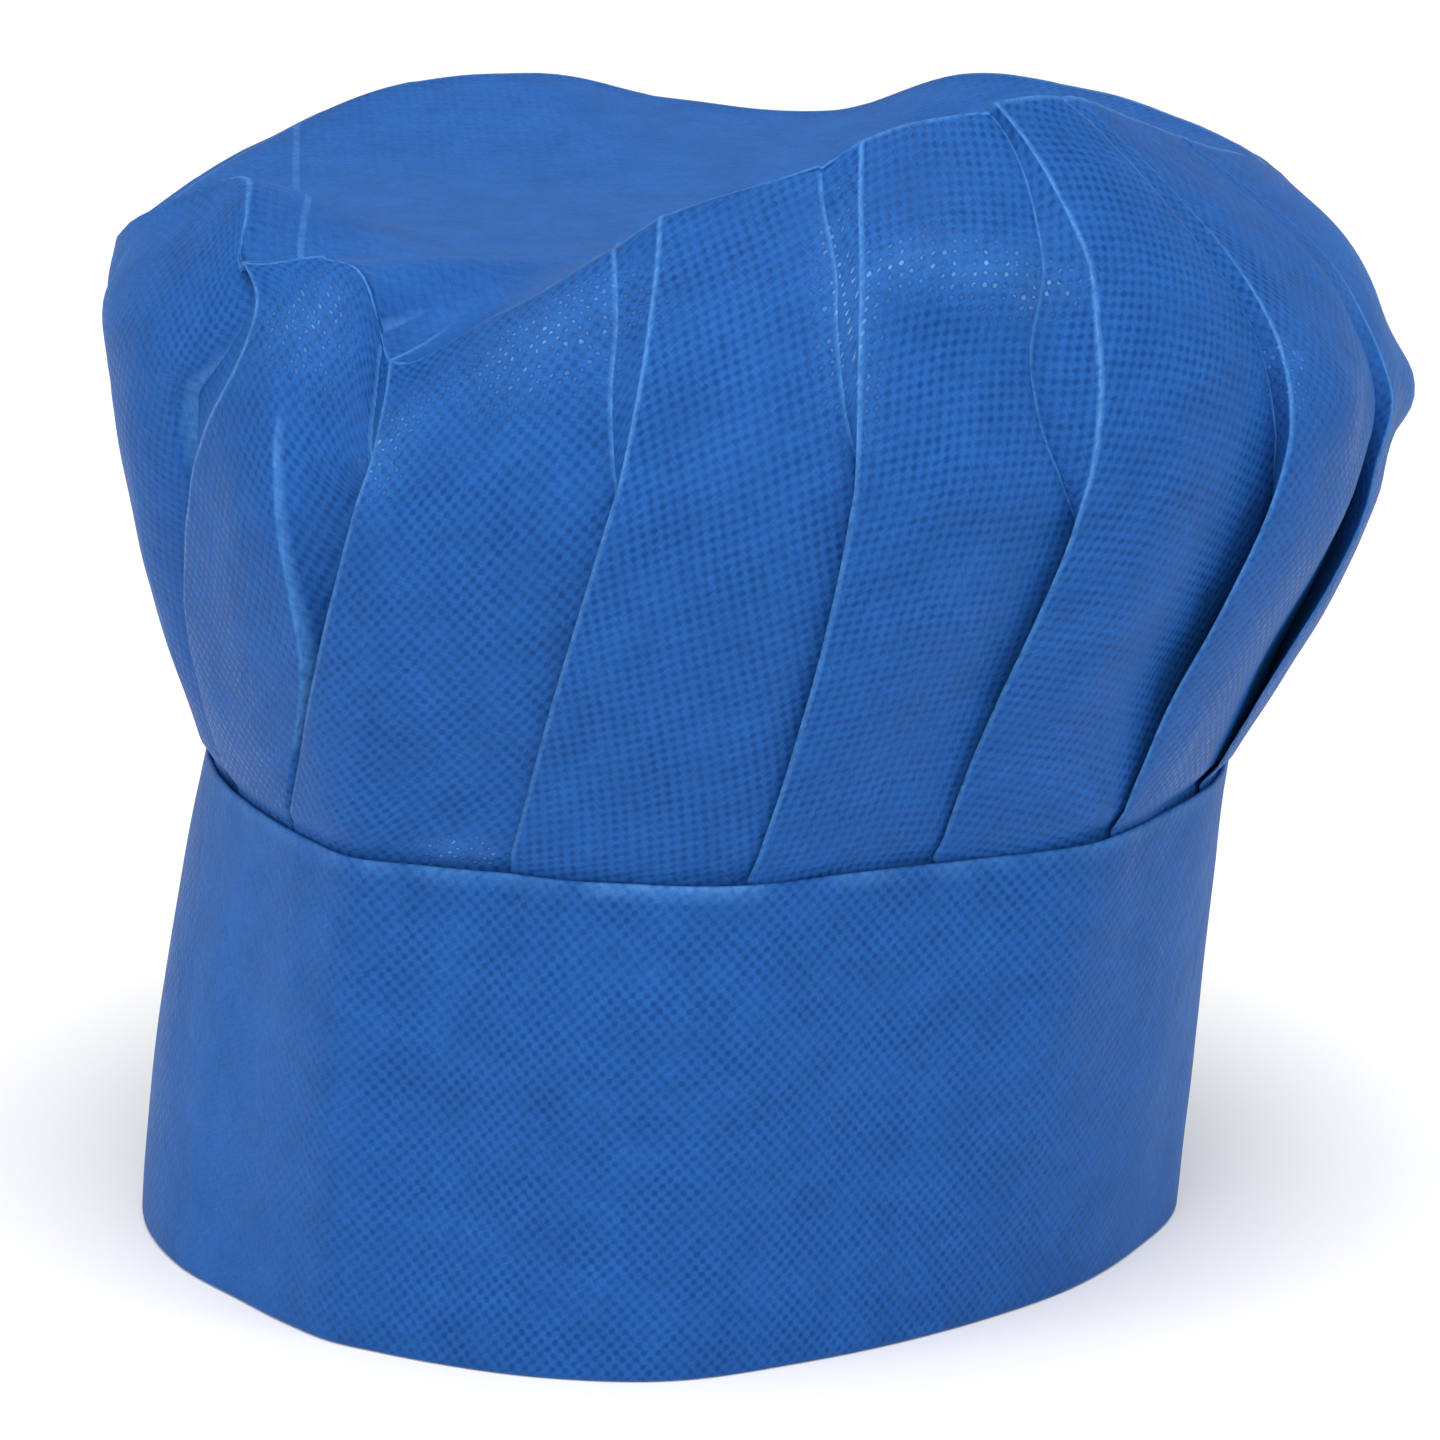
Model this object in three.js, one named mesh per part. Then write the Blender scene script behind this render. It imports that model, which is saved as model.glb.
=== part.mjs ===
// A puffed, knife-pleated chef hat of non-woven cloth: a tall folded band and one round cut of cloth that
// is pleated into it. Millimetres, +Z up, the front faces -Y. Azimuths are degrees round the vertical
// axis, 0 at the front and growing towards +X. The lower edge of the band rests on z = 0.

import * as THREE from 'three';

// ---- driving dimensions ----

const SEAM_HEIGHT = 92; // top edge of the band, where the crown is sewn in
const SEAM_GAP = 0.3; // clearance between the band's top edge and the crown
const BAND_THICKNESS = 2.4; // two plies and the air between them
const CROWN_THICKNESS = 1.6; // one springy ply
const TOP_CENTRE_HEIGHT = 187; // middle of the dished top
const LEAN_X = -17.6; // how far the foot of the band stands off the crown's axis
const LEAN_Y = 4;
const LEAN_HEIGHT = 165; // above this height the axis is upright
const BELLY_LEVEL = 0.55; // level of the widest section: 0 is the seam, 1 the ring crease, 2 the centre
const SEAM_FLARE = 1.25; // how much more steeply than straight the side flares out of the seam
const BELLY_SLOPE = 0.3; // how far the side's flare and tuck carry on through the belly
const BELLY_RISE = 1.1; // steepness of the side's climb out of the belly
const RIDGE_RISE = 0.75; // and of its climb into the ring crease
const RIDGE_TUCK = 1.3; // how much more sharply than straight the side tucks in at the ring crease
const DISH_CONE = 0.25; // share of the dish of the top that is a plain cone
const DISH_POWER = 2.2; // steepness of the rest towards its rim
const DISH_CALM = 0.45; // radius, as a share, within which the dish is even
const DISH_REACH = 0.5; // and how soon outside it the dish follows the ring crease
const SEAM_HOLD = 0.12; // level up to which the seam keeps dents away
const FOOT_HOLD = 0.2; // and how many levels of the band its foot and its seam do
const PLY_GAP = 1.6; // step of a pressed knife pleat
const PLY_FADE = 0.12; // levels of the top over which that step fades out
const LIFT_FADE = 0.025; // and how many more it takes for each millimetre of a fold's lift there
const BELLY_LIFT_LEVEL = 0.25; // level at which a fold reaches its lift at the belly
const RIDGE_LIFT_START = 0.45; // level at which it starts to change to its lift at the ring crease
const RIDGE_LIFT_REACH = 0.4; // and how many levels it takes
const DIVE_LEVEL = 0.72; // level above which a panel dips at its high dive
const DIVE_REACH = 0.5; // and how many levels below it the low dive is reached
const FOLD_EASE = 0.6; // how much a fold's turn round the hat is eased at both ends
const ROLL_REACH = 0.22; // levels from the ring crease within which a rolled crease is eased
const ROLL_EASE = 0.09; // and how far apart the two levels are that it is the mean of
const CALM_TURNS = [-32, -16, 0, 16, 32]; // azimuths over which the middle of the top evens out
const FULL_SWING = 6.75; // makes a pleat's low and high swing its largest turn, a third of the way in
const STRIP_CLOSED = 3; // width of a pleat's step where the pleat is shut
const STRIP_OPEN = 8; // and near the ring crease, where it stands open
const STRIP_REACH = 0.3; // levels above the belly over which it opens

// A table has named columns and one row for each section or fold.
const table = (names, rows) =>
  rows.map((row) => Object.fromEntries(names.map((name, i) => [name, row[i]])));

// Plan of the band: radius at its foot and at the seam, and how far its wall bows out between them.
const BAND_SECTIONS = table(['azimuth', 'foot', 'seam', 'bow'], [
  [-150, 99, 94, 0],
  [-120, 99, 94, 1],
  [-90, 98.5, 93.5, 2.2],
  [-70, 94.5, 92, 1],
  [-58, 91, 92.5, 0],
  [-48, 90.5, 94.4, 0.3],
  [-40, 90.8, 95.8, 0.6],
  [-33, 89.6, 92.6, 0],
  [-24, 89, 90.6, -0.6],
  [-12, 89, 90.2, -0.8],
  [2, 88.4, 90.5, -0.6],
  [17, 84.2, 86.5, 0],
  [32, 82.8, 88, -0.3],
  [46, 84, 93.5, 0],
  [60, 87.8, 93.2, 0],
  [75, 92.4, 95.2, 0],
  [90, 98.6, 96, 0],
  [120, 99, 94.5, 0],
  [150, 99, 94, 0],
  [180, 98, 93.5, -0.6],
]);

// Soft dents (negative) and swells (positive) of the band: centre, half widths and height.
const BAND_DENTS = table(['azimuth', 'level', 'width', 'reach', 'height'], [
  [-8, 0.66, 17, 0.2, 2],
  [-28, 0.36, 8, 0.26, -1.2],
  [22, 0.5, 10, 0.3, -1],
]);

// Sections of the crown: radius and height of the belly, radius and height of the ring crease, and how
// softly the cloth rolls over at that crease, from 0 pressed sharp to 1 rolled.
const CROWN_SECTIONS = table(['azimuth', 'bellyR', 'bellyZ', 'ridgeR', 'ridgeZ', 'roll'], [
  [-170, 112, 158, 94, 198.5, 0],
  [-155, 114, 160, 98, 204, 0],
  [-140, 115, 162, 104, 203.5, 0],
  [-120, 117, 166, 112, 196.5, 0.4],
  [-98, 118, 172, 117.6, 186, 0.55],
  [-89, 117, 171, 109, 193, 0.3],
  [-80, 115.5, 170, 92.5, 201, 0],
  [-72, 113, 168.5, 93.5, 198, 0],
  [-64, 110.5, 166, 99, 191.5, 0],
  [-55, 108.8, 162.6, 90.5, 193.5, 0],
  [-49.5, 107.8, 160.3, 88.5, 193, 0],
  [-43, 107, 158, 90, 178, 0],
  [-30, 105, 158, 87, 189, 0.35],
  [-14, 106, 162, 85, 205, 0.3],
  [2, 107, 168, 84, 213, 0],
  [18, 108, 174, 85, 221, 0],
  [35, 110, 176, 86, 223.5, 0],
  [52, 114, 172, 83, 216.8, 0],
  [70, 117, 163, 87.5, 208, 0],
  [90, 117, 156, 92.6, 201, 0.3],
  [112, 117, 156, 92, 201, 0],
  [132, 115, 157, 90, 206, 0],
  [152, 113, 158, 90, 205, 0],
  [170, 112, 158, 92, 196.5, 0],
]);

// Outer folds of the knife pleats: azimuth at the seam and at the ring crease, how far the fold swings
// round low down and high up between them, how far it stands over its left neighbour at the belly and at
// the ring crease, the shares of that neighbour's panel at which it starts to dive under the fold, low
// and high on the side, and how late it sinks there.
const PLEATS = table(
  ['seam', 'ridge', 'low', 'high', 'bellyLift', 'ridgeLift', 'lowDive', 'highDive', 'power'],
  [
    [-69.6, -63.5, -2.5, 8, 6, 1.5, 0.5, 0.3, 1.4],
    [-52.4, -43.5, 6.4, 4.6, 9, 2.6, 0.95, 0.42, 1],
    [-22.5, -10.8, 2.3, 1.8, 2, 0.6, 0.3, 0, 1.4],
    [4.3, 11.8, 2.1, -1.5, 1.5, 0.6, 0.3, 0, 1.4],
    [26.7, 27.3, -0.7, 5.1, 2.2, 0.4, 0.4, 0.3, 1.4],
    [49.3, 38, -2, 12, 4, 0, 0.4, 0.35, 1.2],
    [70.7, 60, -2, 11, 3.5, 0, 0.3, 0.2, 1.4],
    [93, 88, 0, 6, 3, 0, 0.2, 0.2, 1.4],
    [117, 114, 0, 4, 3, 0, 0.2, 0, 1.4],
    [141, 140, 0, 3, 3, 0, 0.2, 0, 1.4],
    [165, 166, 0, 3, 3, 0, 0.2, 0, 1.4],
    [190, 193, 0, 3, 3, 0, 0.2, 0, 1.4],
    [215, 220, 0, 3, 3, 0, 0.2, 0, 1.4],
    [240, 247, 0, 3, 3, 0, 0.2, 0, 1.4],
    [266, 274, 0, 0, 4, 0, 0.2, 0, 1.4],
  ],
);

// Soft dents (negative) and swells (positive) of the crown: centre, half widths and height.
const DENTS = table(['azimuth', 'level', 'width', 'reach', 'height'], [
  [88, 0.56, 10, 0.11, 3],
  [94, 0.42, 14, 0.11, -3.6],
  [91, 0.5, 12, 0.05, -3],
  [84, 0.82, 16, 0.12, 2],
  [-92, 0.38, 22, 0.17, -3.4],
  [-90, 0.64, 16, 0.12, 1.2],
  [-60, 0.5, 7, 0.28, -2],
  [-19, 0.84, 9, 0.07, 1.8],
  [17, 0.88, 8, 0.05, 2],
  [26, 0.82, 8, 0.05, 2.2],
  [23, 0.7, 10, 0.08, -2.2],
  [112, 1.4, 28, 0.3, 3],
]);

// Columns of each pleat, as shares of the panel from its outer fold to the inner fold of the next one,
// and the levels of the rings.
const PANEL_STEPS = [0, 0.14, 0.36, 0.62, 0.84, 1];
const SIDE_LEVELS = [0, 0.08, 0.17, 0.27, 0.37, 0.47, 0.57, 0.67, 0.77, 0.86, 0.94, 1];
const TOP_LEVELS = [1.07, 1.16, 1.3, 1.5, 1.75];
const NORMAL_STEP = 0.01;
const BAND_COLUMNS = 90;
const BAND_LEVELS = [0, 0.2, 0.4, 0.6, 0.8, 1];

const CLOTH_BLUE = '#2a62b4';

// ---- curves ----

const clamp = (x, low, high) => Math.min(Math.max(x, low), high);

function smooth(x) {
  const t = clamp(x, 0, 1);
  return t * t * (3 - 2 * t);
}

// Cubic from p0 to p1 with end slopes m0 and m1.
function hermite(p0, m0, p1, m1, t) {
  const t2 = t * t;
  const t3 = t2 * t;
  return (2 * t3 - 3 * t2 + 1) * p0 + (t3 - 2 * t2 + t) * m0 + (3 * t2 - 2 * t3) * p1 + (t3 - t2) * m1;
}

// Smooth closed curve through one column of a table of sections.
function around(rows, column, azimuth) {
  const count = rows.length;
  const wrapped = ((azimuth - rows[0].azimuth) % 360 + 360) % 360 + rows[0].azimuth;
  const at = (i) => {
    const row = rows[(i + count) % count];
    return { a: row.azimuth + 360 * Math.floor(i / count), v: row[column] };
  };
  let i = count - 1;
  while (rows[i].azimuth > wrapped) i -= 1;
  const [before, start, end, after] = [at(i - 1), at(i), at(i + 1), at(i + 2)];
  const span = end.a - start.a;
  const slopeStart = ((end.v - before.v) / (end.a - before.a)) * span;
  const slopeEnd = ((after.v - start.v) / (after.a - start.a)) * span;
  return hermite(start.v, slopeStart, end.v, slopeEnd, (wrapped - start.a) / span);
}

// Height of the dents and swells of a table at one place.
function dent(rows, azimuth, level) {
  return rows.reduce((sum, row) => {
    const turn = ((azimuth - row.azimuth + 540) % 360) - 180;
    const x = turn / row.width;
    const y = (level - row.level) / row.reach;
    return sum + row.height * Math.exp(-x * x - y * y);
  }, 0);
}

// A point at a radius from the hat's axis, which leans below the crown.
function place(azimuth, radius, height) {
  const a = THREE.MathUtils.degToRad(azimuth);
  const lean = 1 - clamp(height / LEAN_HEIGHT, 0, 1);
  return new THREE.Vector3(
    LEAN_X * lean + radius * Math.sin(a),
    LEAN_Y * lean - radius * Math.cos(a),
    height,
  );
}

// ---- crown ----

// Radius and height of the puffed side, from the seam (level 0) to the ring crease (level 1).
function sideProfile(azimuth, level) {
  const seamR = around(BAND_SECTIONS, 'seam', azimuth);
  const bellyR = around(CROWN_SECTIONS, 'bellyR', azimuth);
  const bellyZ = around(CROWN_SECTIONS, 'bellyZ', azimuth);
  const ridgeR = around(CROWN_SECTIONS, 'ridgeR', azimuth);
  const ridgeZ = around(CROWN_SECTIONS, 'ridgeZ', azimuth);
  const footZ = SEAM_HEIGHT + SEAM_GAP;
  const flare = bellyR - seamR;
  const climb = bellyZ - footZ;
  const tuck = ridgeR - bellyR;
  const rest = ridgeZ - bellyZ;
  const slope = BELLY_SLOPE * (flare / climb + tuck / rest);
  if (level < BELLY_LEVEL) {
    const t = level / BELLY_LEVEL;
    return {
      r: hermite(seamR, SEAM_FLARE * flare, bellyR, slope * climb, t),
      z: hermite(footZ, climb, bellyZ, climb, t),
    };
  }
  const t = (level - BELLY_LEVEL) / (1 - BELLY_LEVEL);
  return {
    r: hermite(bellyR, slope * BELLY_RISE * rest, ridgeR, RIDGE_TUCK * tuck, t),
    z: hermite(bellyZ, BELLY_RISE * rest, ridgeZ, RIDGE_RISE * rest, t),
  };
}

// The ring crease without its steps, for the middle of the top.
const calmRidge = (azimuth, column) =>
  CALM_TURNS.reduce((sum, turn) => sum + around(CROWN_SECTIONS, column, azimuth + turn), 0)
    / CALM_TURNS.length;

// Radius and height of the dished top, from the ring crease (level 1) to the centre (level 2).
function topProfile(azimuth, level) {
  const s = 2 - level;
  const hold = smooth((s - DISH_CALM) / DISH_REACH);
  const ridge = (column) =>
    THREE.MathUtils.lerp(calmRidge(azimuth, column), around(CROWN_SECTIONS, column, azimuth), hold);
  const dish = DISH_CONE * s + (1 - DISH_CONE) * s ** DISH_POWER;
  return {
    r: ridge('ridgeR') * s,
    z: TOP_CENTRE_HEIGHT + (ridge('ridgeZ') - TOP_CENTRE_HEIGHT) * dish,
  };
}

const sharpProfile = (azimuth, level) =>
  (level <= 1 ? sideProfile(azimuth, level) : topProfile(azimuth, level));

// The same with the ring crease rolled over softly where its section says so.
function crownProfile(azimuth, level) {
  const near = smooth(1 - Math.abs(level - 1) / ROLL_REACH);
  const ease = ROLL_EASE * near * around(CROWN_SECTIONS, 'roll', azimuth);
  const below = sharpProfile(azimuth, level - ease);
  const above = sharpProfile(azimuth, level + ease);
  return { r: (below.r + above.r) / 2, z: (below.z + above.z) / 2 };
}

// A point of the crown, moved along the cloth's own normal.
function crownPoint(azimuth, level, offset) {
  const { r, z } = crownProfile(azimuth, level);
  const above = crownProfile(azimuth, Math.min(level + NORMAL_STEP, 2));
  const below = crownProfile(azimuth, Math.max(level - NORMAL_STEP, 0));
  const normal = new THREE.Vector2(above.z - below.z, below.r - above.r).normalize();
  const out = offset + dent(DENTS, azimuth, level) * smooth(level / SEAM_HOLD);
  return place(azimuth, r + normal.x * out, z + normal.y * out);
}

// Azimuth of a pleat's outer fold. Pleat numbers run on round the hat.
function foldAzimuth(index, level) {
  const pleat = PLEATS[index % PLEATS.length];
  const v = clamp(level, 0, 1);
  const turn = 360 * Math.floor(index / PLEATS.length);
  const lean = FOLD_EASE * smooth(v) + (1 - FOLD_EASE) * v;
  const swing = FULL_SWING * v * (1 - v) * (pleat.low * (1 - v) + pleat.high * v);
  return pleat.seam + (pleat.ridge - pleat.seam) * lean + swing + turn;
}

// How far the cloth beside a pleat's outer fold lies under it.
function foldDepth(pleat, level) {
  const high = smooth((level - RIDGE_LIFT_START) / RIDGE_LIFT_REACH);
  const belly = pleat.bellyLift * smooth(level / BELLY_LIFT_LEVEL) * (1 - high);
  const fade = 1 - smooth((level - 1) / (PLY_FADE + LIFT_FADE * pleat.ridgeLift));
  return (PLY_GAP + belly + pleat.ridgeLift * high) * fade;
}

// One column of points up a pleat's panel. share 0 is its outer fold, 1 the inner fold of the next pleat.
function panelColumn(index, share, levels) {
  const next = PLEATS[(index + 1) % PLEATS.length];
  return levels.map((level) => {
    const start = foldAzimuth(index, level);
    const end = foldAzimuth(index + 1, level);
    const width = STRIP_CLOSED + (STRIP_OPEN - STRIP_CLOSED) * smooth((level - BELLY_LEVEL) / STRIP_REACH);
    const ridgeR = around(CROWN_SECTIONS, 'ridgeR', end);
    const valley = end - THREE.MathUtils.radToDeg(width / ridgeR);
    const azimuth = start + (valley - start) * share;
    const across = (azimuth - start) / (end - start);
    const low = smooth((DIVE_LEVEL - level) / DIVE_REACH);
    const dive = THREE.MathUtils.lerp(next.highDive, next.lowDive, low);
    const sink = clamp((across - dive) / (1 - dive), 0, 1) ** next.power;
    return crownPoint(azimuth, level, -foldDepth(next, level) * sink);
  });
}

function crownGeometry() {
  const levels = [...SIDE_LEVELS, ...TOP_LEVELS];
  const columns = PLEATS.flatMap((_, index) =>
    PANEL_STEPS.map((share) => panelColumn(index, share, levels)));
  const pole = place(0, 0, TOP_CENTRE_HEIGHT);
  return wallGeometry(columns, CROWN_THICKNESS, pole);
}

// ---- band ----

function bandGeometry() {
  const columns = Array.from({ length: BAND_COLUMNS }, (_, i) => {
    const azimuth = (360 * i) / BAND_COLUMNS - 180;
    const foot = around(BAND_SECTIONS, 'foot', azimuth);
    const seam = around(BAND_SECTIONS, 'seam', azimuth);
    const bow = around(BAND_SECTIONS, 'bow', azimuth);
    return BAND_LEVELS.map((level) => {
      const held = smooth(level / FOOT_HOLD) * smooth((1 - level) / FOOT_HOLD);
      const dents = dent(BAND_DENTS, azimuth, level) * held;
      const radius = foot + (seam - foot) * level + bow * 4 * level * (1 - level) + dents;
      return place(azimuth, radius, SEAM_HEIGHT * level);
    });
  });
  return wallGeometry(columns, BAND_THICKNESS, null);
}

// ---- walls ----

// Triangles of the sheet through closed rings of columns, and of the cap that joins it to the pole.
function sheetFaces(columnCount, rowCount, pole) {
  const faces = [];
  const at = (i, j) => (i % columnCount) * rowCount + j;
  for (let i = 0; i < columnCount; i += 1) {
    for (let j = 0; j + 1 < rowCount; j += 1) {
      faces.push([at(i, j), at(i + 1, j), at(i + 1, j + 1)]);
      faces.push([at(i, j), at(i + 1, j + 1), at(i, j + 1)]);
    }
    if (pole) faces.push([at(i, rowCount - 1), at(i + 1, rowCount - 1), columnCount * rowCount]);
  }
  return faces;
}

// The average normal of the faces round each point.
function pointNormals(points, faces) {
  const normals = points.map(() => new THREE.Vector3());
  const triangle = new THREE.Triangle();
  faces.forEach((face) => {
    triangle.set(points[face[0]], points[face[1]], points[face[2]]);
    const normal = triangle.getNormal(new THREE.Vector3()).multiplyScalar(triangle.getArea());
    face.forEach((p) => normals[p].add(normal));
  });
  return normals;
}

// A closed wall: the outer sheet, the same sheet set in by the thickness, and the edges between them.
// Level edges stay level, so the wall ends in flat rims. A pole closes the top.
function wallGeometry(columns, thickness, pole) {
  const rowCount = columns[0].length;
  const columnCount = columns.length;
  const outer = columns.flat();
  if (pole) outer.push(pole);
  const faces = sheetFaces(columnCount, rowCount, pole);
  const normals = pointNormals(outer, faces);
  const isRim = (p) => p < columnCount * rowCount
    && (p % rowCount === 0 || (!pole && p % rowCount === rowCount - 1));
  const inner = outer.map((point, p) => {
    const normal = normals[p];
    if (isRim(p)) normal.z = 0;
    return point.clone().addScaledVector(normal.normalize(), -thickness);
  });
  const first = outer.length;
  const all = [...faces, ...faces.map(([a, b, c]) => [a + first, c + first, b + first])];
  const rims = pole ? [0] : [0, rowCount - 1];
  rims.forEach((row) => {
    for (let i = 0; i < columnCount; i += 1) {
      const a = i * rowCount + row;
      const b = ((i + 1) % columnCount) * rowCount + row;
      const strip = [[a, a + first, b + first], [a, b + first, b]];
      all.push(...(row === 0 ? strip : strip.map(([p, q, r]) => [p, r, q])));
    }
  });
  const geometry = new THREE.BufferGeometry();
  const positions = [...outer, ...inner].flatMap((point) => point.toArray());
  geometry.setAttribute('position', new THREE.Float32BufferAttribute(positions, 3));
  geometry.setIndex(all.flat());
  geometry.computeVertexNormals();
  return geometry;
}

// ---- assembly ----

function clothMesh(name, geometry) {
  const material = new THREE.MeshStandardMaterial({ color: CLOTH_BLUE, roughness: 0.75, metalness: 0 });
  const mesh = new THREE.Mesh(geometry, material);
  mesh.name = name;
  return mesh;
}

const hat = new THREE.Group();
hat.add(clothMesh('head_band', bandGeometry()));
hat.add(clothMesh('crown', crownGeometry()));

// The origin is the middle of the hat's own box, on the surface that it rests on.
const middle = new THREE.Box3().setFromObject(hat).getCenter(new THREE.Vector3());
hat.position.set(-middle.x, -middle.y, 0);

export default hat;
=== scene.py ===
"""A puffed, knife-pleated chef hat of blue non-woven cloth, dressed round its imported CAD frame.

Two sheets of cloth make the hat. The crown is a round cut whose edge is knife-pleated into the band; the
band is a strip folded along its lower edge and lapped into a ring. Shapes are worked out in millimetres
from the tables below, which follow the part's own, and become metres when a mesh is made. Azimuths are
degrees round the hat's axis, 0 at the front (-Y) and growing towards +X. Levels run from 0 to 1 up the
band, and on the crown from 0 at the seam through 1 at the ring crease to 2 at the centre of the top.
"""
import math

import bpy
import numpy as np
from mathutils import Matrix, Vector, noise


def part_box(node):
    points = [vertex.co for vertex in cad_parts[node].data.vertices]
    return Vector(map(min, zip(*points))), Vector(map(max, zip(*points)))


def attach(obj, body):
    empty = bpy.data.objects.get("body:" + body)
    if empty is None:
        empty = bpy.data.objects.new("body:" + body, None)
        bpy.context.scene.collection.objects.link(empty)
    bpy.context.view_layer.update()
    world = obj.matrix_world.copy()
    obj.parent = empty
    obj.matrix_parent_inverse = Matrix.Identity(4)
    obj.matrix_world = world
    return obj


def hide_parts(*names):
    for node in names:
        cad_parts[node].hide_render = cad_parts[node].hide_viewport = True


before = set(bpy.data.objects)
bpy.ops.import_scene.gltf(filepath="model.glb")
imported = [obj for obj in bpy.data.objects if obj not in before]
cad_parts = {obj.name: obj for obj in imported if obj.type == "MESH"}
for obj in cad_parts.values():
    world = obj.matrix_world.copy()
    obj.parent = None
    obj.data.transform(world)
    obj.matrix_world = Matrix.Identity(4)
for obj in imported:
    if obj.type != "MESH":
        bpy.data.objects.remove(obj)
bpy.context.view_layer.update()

# ---- sizes, in millimetres ----

MM = 0.001
SEAM_HEIGHT = 92.0
SEAM_GAP = 0.3
TOP_CENTRE_HEIGHT = 187.0
LEAN = (-17.6, 4.0)          # how far the band's foot stands off the crown's axis
LEAN_HEIGHT = 165.0          # above this height the axis is upright
BELLY_LEVEL = 0.55           # level at which the side is widest
SEAM_FLARE = 1.25            # how much more steeply than straight the side flares out of the seam
BELLY_SLOPE = 0.3            # how far the side's flare and tuck carry on through the belly
BELLY_RISE = 1.1             # steepness of the side's climb out of the belly
RIDGE_RISE = 0.75            # and of its climb into the ring crease
RIDGE_TUCK = 1.3             # how much more sharply than straight the side tucks in at the ring crease
ROLL_REACH = 0.22            # levels from the ring crease within which a rolled crease is eased
ROLL_EASE = 0.09             # and how far apart the two levels are that it is the mean of
DISH_CONE = 0.25             # share of the dish of the top that is a plain cone
DISH_POWER = 2.2             # steepness of the rest towards its rim
DISH_CALM = 0.45             # radius, as a share, within which the dish is even
DISH_REACH = 0.5             # and how soon outside it the dish follows the ring crease
CALM_TURNS = (-32, -16, 0, 16, 32)  # turns over which the even dish takes the mean of the ring crease
SEAM_HOLD = 0.12             # level up to which the seam keeps dents away
FOOT_HOLD = 0.2              # and how many levels of the band its foot and its seam do
PLY_GAP = 1.2                # from a pleat's outer fold in to the panel beside it
PLY_FADE = 0.12              # levels of the top over which that step fades out
LIFT_FADE = 0.025            # and how many more it takes for each millimetre of a fold's lift there
BELLY_LIFT_LEVEL = 0.25      # level at which a fold reaches its lift at the belly
RIDGE_LIFT_START = 0.45      # level at which it starts to change to its lift at the ring crease
RIDGE_LIFT_REACH = 0.4       # and how many levels it takes
DIVE_LEVEL = 0.72            # level above which a panel dips at its high dive
DIVE_REACH = 0.5             # and how many levels below it the low dive is reached
BULGE = 0.6                  # how far a panel bulges between its folds
BULGE_SKEW = 0.8             # below 1, nearer to its left fold
BULGE_START = 0.3            # levels over which it starts above the seam
BULGE_END = 0.25             # and ends below the ring crease
FOLD_EASE = 0.6              # how much a fold's turn round the hat is eased at both ends
FULL_SWING = 6.75            # makes a pleat's low and high swing its largest turn
UNDERLAP = 26.0              # how far a pleat tucks under its neighbour at the seam
UNDERLAP_END = 0.62          # and the level at which it no longer does
SIDE_OPENING = 0.3           # levels over which a pleat opens to its strip high on the side
TOP_STRIP = 3.0              # width of the strip that every pleat runs on with into the top
TOP_STRIP_REACH = 0.3        # and how many levels of the top it takes to get there
BRINK_RANGE = (0.3, 0.85)    # shares of the panel between which the line lies where it starts to dip
CLOTH = 0.45                 # one ply
# Pale lines along pressed folds, steep brinks and the ring crease: whitened cloth with a painted
# highlight of the edge.
CREASE = 0.7                 # width of the pale line on each side of a pressed fold
PRESSED_DEPTH = 1.5          # depth under a fold at which its crease is fully pressed
VALLEY_PRESSED = 0.8         # how pale its inner fold is, against its outer one
WRINKLE = 0.7                # how pale the brink of a panel is that dips steeply
WRINKLE_DEPTH = 6.5          # depth under a fold from which it is
WRINKLE_REACH = 2.0          # and how much more depth it takes
WRINKLE_END = (0.85, 0.1)    # level at which it ends, and levels over which it fades
RING_PRESSED = 0.85          # how pale the ring crease is
ROLLED_LOSS = 0.75           # and how much of that it loses where the cloth is rolled
CREASE_FADE = 0.28           # levels of the top over which the folds' pale lines fade out
SEAM_SET = 1.3               # how far inside the band's outer ply the crown is sewn
SEAM_SET_REACH = 0.035       # and the level at which it is out at its own radius
FOOT_DEPTH = 1.9             # from the band's outer ply to its inner one at the foot
TOP_DEPTH = 4.2              # and at the seam, with the crown's pleats between them
TURN_IN = 7.0                # seam allowance of the band and the crown
SEWN_DEPTHS = (TURN_IN - 1, 3.0, 1.2)  # depths of the crown's rows inside the band
LAP = 14.0                   # overlap of the band's ends at the back
LAP_RADIUS = 98.0            # radius there
LAP_LIFT = 0.6               # how far the free end lies over the other one
LAP_TUCK = 0.04              # and how far the other one is pressed in
FOOT_CALM = 14.0             # height over which the band's waves start at its flat foot
EDGE_START = 76.0            # height from which its sewn edge puckers
EDGE_REACH = 14.0            # and how far up that takes
RIM_START = 88.0             # height from which the rim itself wavers up and down
RIM_REACH = 3.0
PERIMETER = 600.0            # of the band
GRID_PITCH = 1.85            # bond points of the cloth

# Small waves of the cloth.
BAND_WAVES = ((0.75, 46, 3), (0.3, 17, 4))    # height, length, seed
BAND_PUCKERS = ((0.35, 9, 5), (0.3, 23, 6))
RIM_WAVES = ((0.25, 14, 7),)
EDGE_WEAR_AND_HIGHLIGHT_WAVES = ((1.6, 7, 8),)
CROWN_WAVES = ((0.8, 38, 1), (0.35, 15, 2))
CRUMPLE_WAVES = ((1.0, 13, 9),)

# The band's pale upper edge, worn cloth with a painted highlight, palest near the front.
EDGE_ROW = 5                 # first row of the edge's pale line
EDGE_PALE = (0.3, 0.8, 0.9, 0.6)
FOOT_PALE = 0.35
EDGE_WEAR_AND_HIGHLIGHT = 0.8
EDGE_WEAR_AND_HIGHLIGHT_LEAST = 0.45            # away from the front
EDGE_WEAR_AND_HIGHLIGHT_AT = -6                 # degrees
EDGE_WEAR_AND_HIGHLIGHT_WIDTH = 24

# ---- studio ----

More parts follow.
